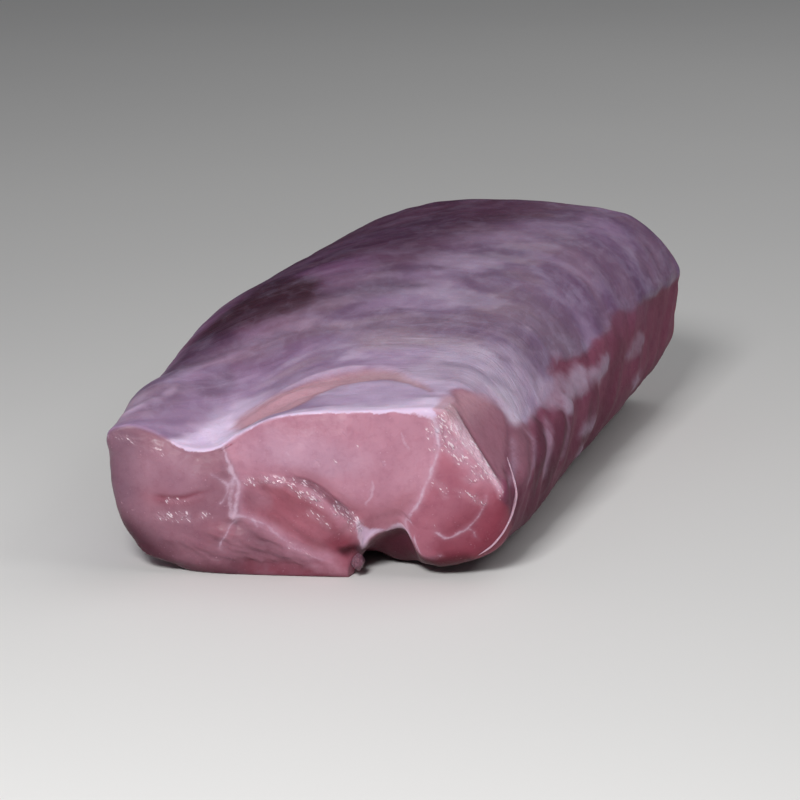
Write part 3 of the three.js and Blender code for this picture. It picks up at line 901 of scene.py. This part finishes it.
# Relief, colour and marks of the skin at places (w, y), z above the table. Silver is the distance inside
# the edge of the silverskin, and thin and thick patches of it are noise stretched along the fibres.
def skinLooks(w, y, z):
    flat = 0 * w
    shades = {name: screen(colour) for name, colour in skinColours.items()}
    s, t = skinFlow(w, y)
    t = t + 3 * rough(w / 30, y / 30, flat, 60, 2)
    w1 = w + 1.3 * rough(w / 9, y / 9, flat, 51)
    y1 = y + 1.3 * rough(w / 9, y / 9, flat + 5, 52)
    edgeRight = np.interp(y, silverEdge["y"], silverEdge["w"]) + 1.7 * rough(y / 14, flat, flat, 53, 4)
    edgeLeft = -94 + 9 * rough(y / 26, flat, flat, 54, 4) + 5 * rough(w / 8, y / 5, flat, 55)
    silver = np.minimum(edgeRight - w, (w - edgeLeft) / 3)
    bareCrescent = insideOutline(w1, y1, crescent)
    bareShoulder = insideOutline(w1, y1, shoulderPatch)
    notShoulder = 1 - ease(bareShoulder, -2, 3)
    silver = np.minimum(silver, np.minimum(-bareCrescent, -bareShoulder))
    skin = np.clip(0.5 + silver / 3.4, 0, 1)
    onSilver = ease(silver, -1.6, 1.6)
    offSilver = 1 - onSilver

    # colour: patches of thin and thick silverskin over the muscle, with painted light that makes them
    # brightest near the front cut
    bare = shades["bare"] * (1 + 0.14 * rough(s / 20, t / 6, flat, 62, 4))[:, None]
    patchy = rough(s / 24, t / 13, flat, 61, 4)
    hue = rough(s / 30, t / 16, flat, 66)
    colour = lay(bare, shades, ("silver", onSilver),
                 ("beige", onSilver * ease(hue, 0.05, 0.5) * 0.4),
                 ("lavender", onSilver * ease(-hue, 0.05, 0.5) * 0.5),
                 ("mauve", onSilver * ease(patchy, 0.08, 0.34) * 0.5),
                 ("pearl", onSilver * ease(-patchy, 0.15, 0.4) * 0.3))
    paintedFrontLight = ease(-y - 0.25 * w, 20, 85) * onSilver
    colour = layPatches(colour * (0.9 + 0.36 * paintedFrontLight)[:, None], shades, w1, y1, skinPatches)
    inCrescent = ease(bareCrescent, -1.2, 2)
    colour = lay(colour, shades, ("peach", 0.85 * inCrescent),
                 ("beige", 0.45 * inCrescent * ease(w, -5, 25)),
                 ("shoulder", ease(bareShoulder, -1.8, 2)),
                 ("peach", 0.6 * ease(bareShoulder, -1, 3) * ease(w, 59, 47)))
    colour = colour * (1 + 0.06 * rough(w / 6, y / 6, flat, 63))[:, None]
    colour = lay(colour, shades, ("lowLeft", 0.75 * offSilver * ease(-w, 60, 80)))

    # painted shade: the far and low parts are darkened, each by its own shares of red, green and blue
    farLeft = ease(0.35 * y - w, -28, 38) * (1 - 0.65 * ease(-w, 52, 76)) * ease(y, -98, -66) * onSilver
    paintedShades = [
        (offSilver * ease(w, 68, 92) * notShoulder, (0.05, 0.28, 0.16)),
        (farLeft, (0.62, 0.8, 0.68)),
        (ease(y, -30, 50) * ease(w, 24, 50) * onSilver, (0.12, 0.24, 0.1)),
        (ease(z, 30, 8) * ease(w, 66, 76) * notShoulder, (0.52, 0.52, 0.52)),
    ]
    for share, less in paintedShades:
        colour = colour * (1 - share[:, None] * np.array(less))
    # painted shade: the inside of the groove and the underside below the right muscle are darkened
    hollow = ease(abs(w), 108, 116) * ease(z, 0.6, 2.5) * ease(y, -50, -70)
    underShade = ease(z, 10, 5) * ease(w, 82, 92) * ease(y, -92, -99)
    colour = lay(colour, shades, ("groove", 0.9 * hollow), ("underShade", 0.8 * underShade * (1 - hollow)))

    lowSide = ease(z, 2, 10) * notShoulder
    near = 0.5 + 0.5 * ease(-y, 10, 70)
    relief = 0.35 * onSilver + 0.5 * near * rough(s / 40, t / 10, flat, 64) * lowSide
    relief += 1.0 * rough(s / 22, t / 12, flat, 65) * offSilver * lowSide
    pale = np.zeros(w.shape)
    for half, strength, height, points in skinLines:
        gap, along = besideLine(w1, y1, points)
        taper = ease(along, 0, 0.15) * (1 - ease(along, 0.85, 1))
        relief += height * bell(gap, 0, half + 0.6) * taper
        amount = strength * taper * ease(half - abs(gap), -1.5 - 0.5 * half, 1)
        amount = amount * ease(rough(w / 5, y / 5, flat, 73, 2), -0.9, 0.1)
        pale = np.maximum(pale, amount)
        colour = between(colour, shades["mauve"] * 0.7, np.maximum(-amount, 0)[:, None])
    for half, dark, bulge, points in sideStripes:
        gap, along = besideLine(w1, y1, points)
        taper = ease(along, 0, 0.12) * (1 - ease(along, 0.8, 1))
        relief += bulge * bell(gap, 0, half) * taper
        amount = dark * taper * ease(half - abs(gap), -1, 1.5) * offSilver
        colour = colour * (1 - 0.45 * amount)[:, None]
    for strength, outline in tufts:
        gap = insideOutline(w1, y1, outline) + 1.4 * rough((w + y) / 9, (w - y) / 4, flat, 72)
        pale = np.maximum(pale, 0.95 * strength * ease(gap, -2.4, 2.2))
        relief += 0.5 * strength * ease(gap, -0.8, 1.5)
    # the tufts are painted lighter towards the front cut, as painted light falling off towards the back
    tuftPaintedLight = shades["tuft"] * (0.9 + 0.35 * ease(-y, 10, 80))[:, None]
    colour = between(colour, tuftPaintedLight, pale[:, None])

    # fat: white at the rim of the cut, fading back into the silverskin
    reach = np.interp(w, fatRim["w"], fatRim["y"]) + 2 * rough(w / 7, y / 7, flat, 71)
    span = ease(w, -60, -46) * ease(w, 43.4, 41.4)
    fade = ease(reach + 3 - y + 3 * rough(s / 16, t / 3, flat, 74), -1, 11) * span
    broader = 1.2 + 4 * bell(w, -28, 6) + 1.3 * ease(w, -4, 12) + 4 * bell(w, 40, 3)
    fat = np.clip(0.5 + (cutPlane(w) + broader - y) / 3, 0, 1) * span * ease(w, -42, -34)
    relief += 0.3 * fade
    chamferEnd = -101 - 0.15 * (w - 50)
    onChamfer = ease(chamferEnd - 0.5 - y, -0.5, 1) * ease(w, 44, 46) * ease(w, 79, 76)
    crease = bell(y - chamferEnd, 0, 1.1) * ease(w, 44, 48) * ease(w, 76, 70)
    relief -= 0.7 * crease
    # the crease line beside the chamfer is darkened as painted shade
    colour = lay(colour, shades, ("fat", 0.92 * fade), ("groove", 0.45 * crease))

    fibre = 0.25 + 0.75 * ease(1 - np.hypot((w - 38) / 42, (y + 55) / 48), 0, 0.5)
    fibre = np.maximum(fibre, 0.5 * ease(1 - np.hypot((w + 38) / 22, (y + 70) / 44), 0, 0.5))
    dull = np.maximum(offSilver, 0.9 * farLeft) * (1 - onChamfer)
    looks = {"relief": relief, "colour": colour, "seam": flat, "vein": flat, "fat": fat}
    return {**looks, "wet": 0.7 * onChamfer, "skin": skin, "fibre": fibre, "dull": dull}


def putNumbers(mesh, name, values, kind, key):  # one attribute of the vertices
    layer = mesh.attributes.new(name, kind, "POINT")
    layer.data.foreach_set(key, np.ascontiguousarray(values, np.float32).ravel())


# What the meat material reads at each vertex. Flow is in metres, and what a small piece leaves out is 0.
def putLooks(mesh, looks, flow):
    count = len(mesh.vertices)
    part = {name: looks.get(name, 0) * np.ones(count) for name in meatMarks}
    putNumbers(mesh, "tint", np.column_stack([looks["colour"], np.ones(count)]), "FLOAT_COLOR", "color")
    for name, inside in (("marks", meatMarks[:3]), ("finish", meatMarks[3:6])):
        putNumbers(mesh, name, np.column_stack([part[one] for one in inside]), "FLOAT_VECTOR", "vector")
    putNumbers(mesh, "flow", flow * mm, "FLOAT_VECTOR", "vector")
    putNumbers(mesh, "dull", part["dull"], "FLOAT", "value")
    mesh.materials.append(meat)


def meshFrom(name, points, quads, triangles):  # a smooth mesh in a new piece
    mesh = bpy.data.meshes.new(name)
    corners = np.concatenate([quads.ravel(), triangles.ravel()]).astype(np.int32)
    sizes = np.concatenate([np.full(len(quads), 4), np.full(len(triangles), 3)])
    mesh.vertices.add(len(points))
    mesh.vertices.foreach_set("co", (points * mm).astype(np.float32).ravel())
    mesh.loops.add(len(corners))
    mesh.loops.foreach_set("vertex_index", corners)
    mesh.polygons.add(len(sizes))
    starts = np.concatenate([[0], np.cumsum(sizes)[:-1]]).astype(np.int32)
    mesh.polygons.foreach_set("loop_start", starts)
    mesh.polygons.foreach_set("use_smooth", np.ones(len(sizes), bool))
    mesh.update(calc_edges=True)
    mesh.validate()
    piece = bpy.data.objects.new(name, mesh)
    bpy.context.collection.objects.link(piece)
    return piece


# Where the relief of the whole joint is raised or lowered, besides that of the cuts and the skin.
def jointRelief(x, y, z, onSkin, fromRim):
    relief = (0.5 - 0.25 * onSkin * ease(z, 20, 40)) * rough(x / 11, y / 11, z / 11, 81, 2)
    nearLeft = ease(-x, 50, 58) * ease(-y, 100, 125)  # the side muscle bulges, with a dent above it
    relief += nearLeft * (1.1 * bell(z, 27, 9) - 0.9 * bell(z, 43, 4))
    relief -= 1.8 * ease(x, 48, 60) * ease(y, 60, 118) * ease(z, 51, 44) * ease(z, 2, 12)
    corner = ease(x, 41, 48) * ease(z, 24, 34) * (y < 0)  # the rim of the cut at the upper right
    return relief - 0.35 * np.exp(-fromRim / 2.6) * corner


# How far each vertex is smoothed: the walls and the roof of the groove, where the grid is squeezed.
def smoothedParts(x, y, z, depth):
    wall = ease(x, 34.4, 36.5) * ease(x, 44, 41) * ease(z, 20, 15)
    roof = ease(x, 18, 21) * ease(x, 40.5, 37) * ease(z, 27, 22) * ease(z, 14.5, 17)
    opening = np.maximum(wall, 0.8 * roof) * ease(y, -101, -105)
    inside = ease(x, 20, 24) * ease(x, 40, 37) * ease(z, 12, 9) * ease(depth, 5, 9) * ease(y, -80, -88)
    return 0.8 * np.maximum(opening, inside)


# The bent box, moved along its normals by the relief of its looks. The cut has one set of looks and the
# skin another, and they ease into each other across the rim.
def makeLoin():
    box, quads, triangles, starts = loinBox(loinGrid)
    a, b, v = box.T
    points = bend(loinShape, a, b, v)
    normals = normalsOf(points, quads, triangles)
    x, y, z = points.T
    w = roundTheSection(points, starts, loinGrid)
    depth = np.minimum(v, 1 - v) * loinShape["length"]

    behind = v > 0.5  # the back cut shows the front one enlarged
    wider, higher = loinShape["backScale"]
    middleX = loinShape["middle"][0]
    cutX = np.where(behind, (x + middleX) / wider - middleX, x)
    cutZ = np.where(behind, z / higher, z)
    top = topHeight(x + middleX, v)
    cut = cutLooks(cutX, cutZ, np.where(behind, top / higher, top))
    skin = skinLooks(w, y, z)
    print("looks worked out")
    upper = ease(b, -0.3, 0.5)
    onSkin = ease(depth, between(3, 0.2, upper), between(9, 1.4, upper))
    looks = {}
    for name in cut:
        share = onSkin[:, None] if cut[name].ndim == 2 else onSkin
        looks[name] = between(cut[name], skin[name], share)
    # painted shade: the opening of the groove behind the front cut is darkened
    archShade = ease(depth, 1, 4) * ease(x, 19, 23) * ease(x, 41, 38) * ease(z, 17, 15) * ease(y, -60, -80)
    dark = screen(skinColours["groove"])
    looks["colour"] = between(looks["colour"], dark, 0.9 * archShade[:, None])

    fromRim = np.where(depth > 0, depth, (1 - np.maximum(abs(a), abs(b))) * 40)
    relief = looks["relief"] * ease(z, 0.3, 4) - loinShape["shrink"]
    relief = relief + jointRelief(x, y, z, onSkin, fromRim)
    shaped = points + normals * relief[:, None] * ease(z, 0, 2.5)[:, None]
    shaped = relax(shaped, quads, triangles, smoothedParts(x, y, z, depth), 30)
    shaped = np.clip(shaped, np.array(cadLow) / mm, np.array(cadHigh) / mm)
    piece = meshFrom("loin", shaped, quads, triangles)
    s, t = skinFlow(w, y)
    putLooks(piece.data, looks, np.column_stack([s, t, 0 * s]))
    return piece


# the first three go into one attribute, the next three into another
meatMarks = ("seam", "vein", "fat", "skin", "wet", "fibre", "dull")
meatFinish = {
    "seamColour": (208, 180, 200),
    "fatColour": (220, 198, 226),
    "fleckColour": (214, 172, 190),
    "pearlColour": (186, 170, 200),
    # the pale dashes painted as glints on the wet places
    "paintedGlintColour": (244, 226, 236),
    "roughness": 0.42,
    "coat": 0.08,
    "fixed": {
        "Subsurface Weight": 0.22,
        "Subsurface Radius": (1, 0.38, 0.32),
        "Subsurface Scale": 0.004,
        "Specular IOR Level": 0.2,
        "Coat Roughness": 0.07,
        "Coat IOR": 1.4,
    },
}


def makeMeat(finish):
    material = bpy.data.materials.new("raw meat")
    material.use_nodes = True
    tree = material.node_tree
    shader = tree.nodes["Principled BSDF"]
    start = Wire(tree, None)
    place = start.node("ShaderNodeTexCoord", output="Object")
    tint, marks, finishes, flow, dull = (
        start.node("ShaderNodeAttribute", {"attribute_name": name}, output=output)
        for name, output in (("tint", "Color"), ("marks", "Vector"), ("finish", "Vector"),
                             ("flow", "Vector"), ("dull", "Fac")))
    seam, vein, fat = (marks.part(axis) for axis in range(3))
    skin, wet, fibre = (finishes.part(axis) for axis in range(3))

    # patterns: fine ones for the meat, broad ones for the silverskin, and two that run with its fibres
    grain = place.noise(420, 4, 0.6)
    fine = place.noise(1500, 3, 0.6)
    slant = start.node("ShaderNodeMapping", {"vector_type": "TEXTURE"},
                       {"Vector": place, "Rotation": (0, 0.8, 0), "Scale": (3.2, 1, 1)})
    dash = slant.noise(1700, 2)
    broad = place.noise(90, 3)
    cloud = place.times(1, 0.7, 1).noise(75, 4, 0.55, 0.5)
    blotch = place.times(1, 0.6, 1).noise(210, 3, 0.5, 0.6)
    brush = flow.times(30, 130, 1).noise(1, 4, 0.55, 1.2)
    streak = flow.times(60, 420, 1).noise(1, 4, 0.6, 1.0)

    # masks with ragged edges
    grit, speck = grain - 0.5, fine - 0.5
    skinMask = (skin + grit * 0.5).between(0.38, 0.62)
    seamMask = (seam + speck * 0.45 + grit * 0.45).between(0.12, 0.95)
    fatMask = (fat + grit * 0.7 + speck * 0.3).between(0.3, 0.72)
    veinMask = (vein + speck * 0.4).between(0.2, 0.9)
    lean = 1 - skinMask
    lively = 1 - dull * 0.7

    fleck = fine.between(0.6, 0.74) * grain.between(0.48, 0.66) * lean
    # painted glints: pale dashes laid over the wet places, which the coat and bump also make glint
    paintedGlints = (dash + wet * 0.09 + grit * 0.2).between(0.64, 0.71) * wet.between(0.05, 0.4)
    thin = cloud.between(0.47, 0.66) * 0.2 + brush.between(0.48, 0.68) * (0.05 + fibre * 0.14)
    thin = (thin + blotch.between(0.5, 0.62) * 0.1) * lively + streak.between(0.5, 0.75) * fibre * 0.1
    dim = cloud.between(0.5, 0.34) * 0.26 + brush.between(0.48, 0.32) * (0.05 + fibre * 0.18)
    dim = (dim + blotch.between(0.48, 0.38) * 0.14) * lively
    colour = (grain.between(0.42, 0.72) * lean * 0.55).mix(tint, tint.times(0.84, 0.76, 0.8))
    colour = (broad.between(0.48, 0.75) * 0.5).mix(colour, colour.times(1.12, 1.17, 1.15))
    colour = (fleck * 0.4).mix(colour, paint(finish["fleckColour"]))
    colour = (paintedGlints * 0.75).mix(colour, paint(finish["paintedGlintColour"]))
    colour = (thin * skinMask).mix(colour, paint(finish["pearlColour"]))
    colour = (dim * skinMask).mix(colour, colour.times(0.74, 0.66, 0.8))
    colour = (veinMask * 0.5).mix(colour, paint(finish["seamColour"]))
    colour = (seamMask * 0.74).mix(colour, paint(finish["seamColour"]))
    colour = (fatMask * 0.88).mix(colour, paint(finish["fatColour"]))

    roughness = finish["roughness"] + grit * 0.3 + skinMask * 0.06 + dull * 0.22 - wet * 0.15
    height = speck * (0.2 + wet * 0.5) + grit * (0.4 + wet * 0.7) + (dash - 0.5) * wet * 3
    height = height + (brush - 0.5) * skinMask * (0.3 + fibre) + (streak - 0.5) * skinMask * fibre * 0.6
    height = height + seamMask * 0.15 + (broad - 0.5) * 1.2
    bumpValues = {"Strength": 0.7, "Distance": 0.0006, "Height": height}
    bump = start.node("ShaderNodeBump", None, bumpValues, "Normal")
    coat = finish["coat"] - dull * finish["coat"] + wet * 0.8
    links = {"Base Color": colour, "Roughness": roughness, "Coat Weight": coat, "Normal": bump}
    for name, wire in links.items():
        tree.links.new(wire.socket, shader.inputs[name])
    for name, value in finish["fixed"].items():
        shader.inputs[name].default_value = value
    return material


def dress(piece, colour, loose):  # the looks and the body of a small piece
    looks = {"colour": colour, "seam": loose["seam"], "wet": loose["wet"]}
    putLooks(piece.data, looks, np.zeros((len(colour), 3)))
    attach(piece, "root")


# Points and faces of rings of equal size, closed by one point at each end.
def closeRings(rings, first, last):
    count, around = rings.shape[:2]
    points = np.concatenate([rings.reshape(-1, 3), [first, last]])
    here = np.arange(around)
    ahead = (here + 1) % around
    end = count * around
    lastRing = end - around
    caps = [(ahead, here, 0 * here + end), (lastRing + here, lastRing + ahead, 0 * here + end + 1)]
    triangles = np.concatenate([np.stack(cap, -1) for cap in caps])
    return points, ringFaces(0, count, around), triangles


looseMembrane = {
    "path": [(59.4, -89, 34), (61.1, -91.2, 31), (63.2, -94.8, 28), (64.3, -96, 24.4), (64.1, -98.5, 21),
             (63.7, -102.4, 18), (61.9, -104.7, 13.8), (59.1, -105.6, 10.4), (55.2, -106, 7.3)],
    "facing": (1, -0.3, 0),
    "wide": 0.6,  # half sizes
    "thick": 0.25,
    "taper": 0.6,  # less is blunter
    "colour": (190, 152, 170),
    "seam": 0.15,
    "wet": 0.3,
}


# An ellipse carried along a smooth path, its wide axis turned towards facing. It swells from a point at
# one end and shrinks to a point at the other, and random lumps make it uneven.
def makeStrand(name, strand):
    path = smoothLine(strand["path"], steps=8)
    share = np.linspace(0, 1, len(path))
    tangent = np.gradient(path, axis=0)
    tangent /= np.linalg.norm(tangent, axis=1, keepdims=True)
    facing = np.array(strand["facing"], float)
    side = facing - (tangent @ facing)[:, None] * tangent
    side /= np.linalg.norm(side, axis=1, keepdims=True)
    up = np.cross(tangent, side)
    swell = np.sin(math.pi * share)[1:-1, None, None] ** strand["taper"]
    turn = np.linspace(0, 2 * math.pi, 14, endpoint=False)[None, :]
    px, py, pz = (path[1:-1, axis, None] for axis in range(3))
    uneven = rough(px / 3 + 2 * np.cos(turn), pz / 3 + 2 * np.sin(turn), 0 * turn + py, 91, 2)
    turn = turn[..., None]
    rings = np.cos(turn) * side[1:-1, None] * strand["wide"]
    rings = rings + np.sin(turn) * up[1:-1, None] * strand["thick"]
    rings = path[1:-1, None] + rings * swell * (1 + 0.3 * uneven)[..., None]
    piece = meshFrom(name, *closeRings(rings, path[0], path[-1]))
    dress(piece, np.tile(screen(strand["colour"]), (len(piece.data.vertices), 1)), strand)


nub = {
    "place": (20.4, cutPlane(20.4) + 1.6, 4.7),
    "size": (1.8, 2.6, 2.3),  # half sizes
    "rough": 0.3,
    "seed": 12,
    "colour": (118, 80, 94),
    "seam": 0.05,
    "wet": 0.15,
}


def pointsOf(piece):  # in millimetres
    values = np.zeros(len(piece.data.vertices) * 3)
    piece.data.vertices.foreach_get("co", values)
    return values.reshape(-1, 3) / mm


# A ball stretched to three half sizes, with random lumps: rings from pole to pole.
def makeLump(name, lump):
    seed = lump["seed"]
    polar = np.linspace(0, math.pi, 34)[1:-1, None]
    turn = np.linspace(0, 2 * math.pi, 44, endpoint=False)[None, :]
    out = [np.sin(polar) * np.cos(turn), np.cos(polar) + 0 * turn, np.sin(polar) * np.sin(turn)]
    out = np.stack(out, -1)
    uneven = 1 + lump["rough"] * rough(*(out * 1.6 + seed).transpose(2, 0, 1), seed)
    size, place = np.array(lump["size"]), np.array(lump["place"])
    rings = place + out * uneven[..., None] * size
    rings[..., 2] = np.maximum(rings[..., 2], 0)
    pole = np.array([0, 1, 0]) * size
    piece = meshFrom(name, *closeRings(rings, place + pole, place - pole))
    shade = 1 + 0.25 * rough(*(pointsOf(piece) / 2.5).T, seed)
    dress(piece, screen(lump["colour"]) * shade[:, None], lump)


floorFinish = {
    "colour": (232, 231, 229),
    "mottle": (225, 224, 223),
    "half": 6.0,  # half the width, in metres
    "roughness": 0.7,
}


def makeFloor(finish):  # a pale square with a faint unevenness
    half = finish["half"]
    corners = [(-half, -half, 0), (half, -half, 0), (half, half, 0), (-half, half, 0)]
    mesh = bpy.data.meshes.new("floor")
    mesh.from_pydata(corners, [], [(0, 1, 2, 3)])
    floor = bpy.data.objects.new("floor", mesh)
    bpy.context.collection.objects.link(floor)
    material = bpy.data.materials.new("pale floor")
    material.use_nodes = True
    tree = material.node_tree
    shader = tree.nodes["Principled BSDF"]
    mottle = Wire(tree, None).node("ShaderNodeTexCoord", output="Object").noise(3, 2)
    shade = mottle.mix(paint(finish["colour"]), paint(finish["mottle"]))
    tree.links.new(shade.socket, shader.inputs["Base Color"])
    shader.inputs["Roughness"].default_value = finish["roughness"]
    mesh.materials.append(material)


makeCamera(cameraView)
for lightName, light in softLights.items():
    makeLight(lightName, light)
makeRoom(roomGlow)
makeFloor(floorFinish)
print("camera, light and floor made")

meat = makeMeat(meatFinish)
loin = makeLoin()
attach(loin, "root")
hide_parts("pork_loin")
print("loin made:", len(loin.data.vertices), "vertices")

makeStrand("loose_membrane", looseMembrane)
makeLump("nub", nub)
print("loose membrane and nub made")
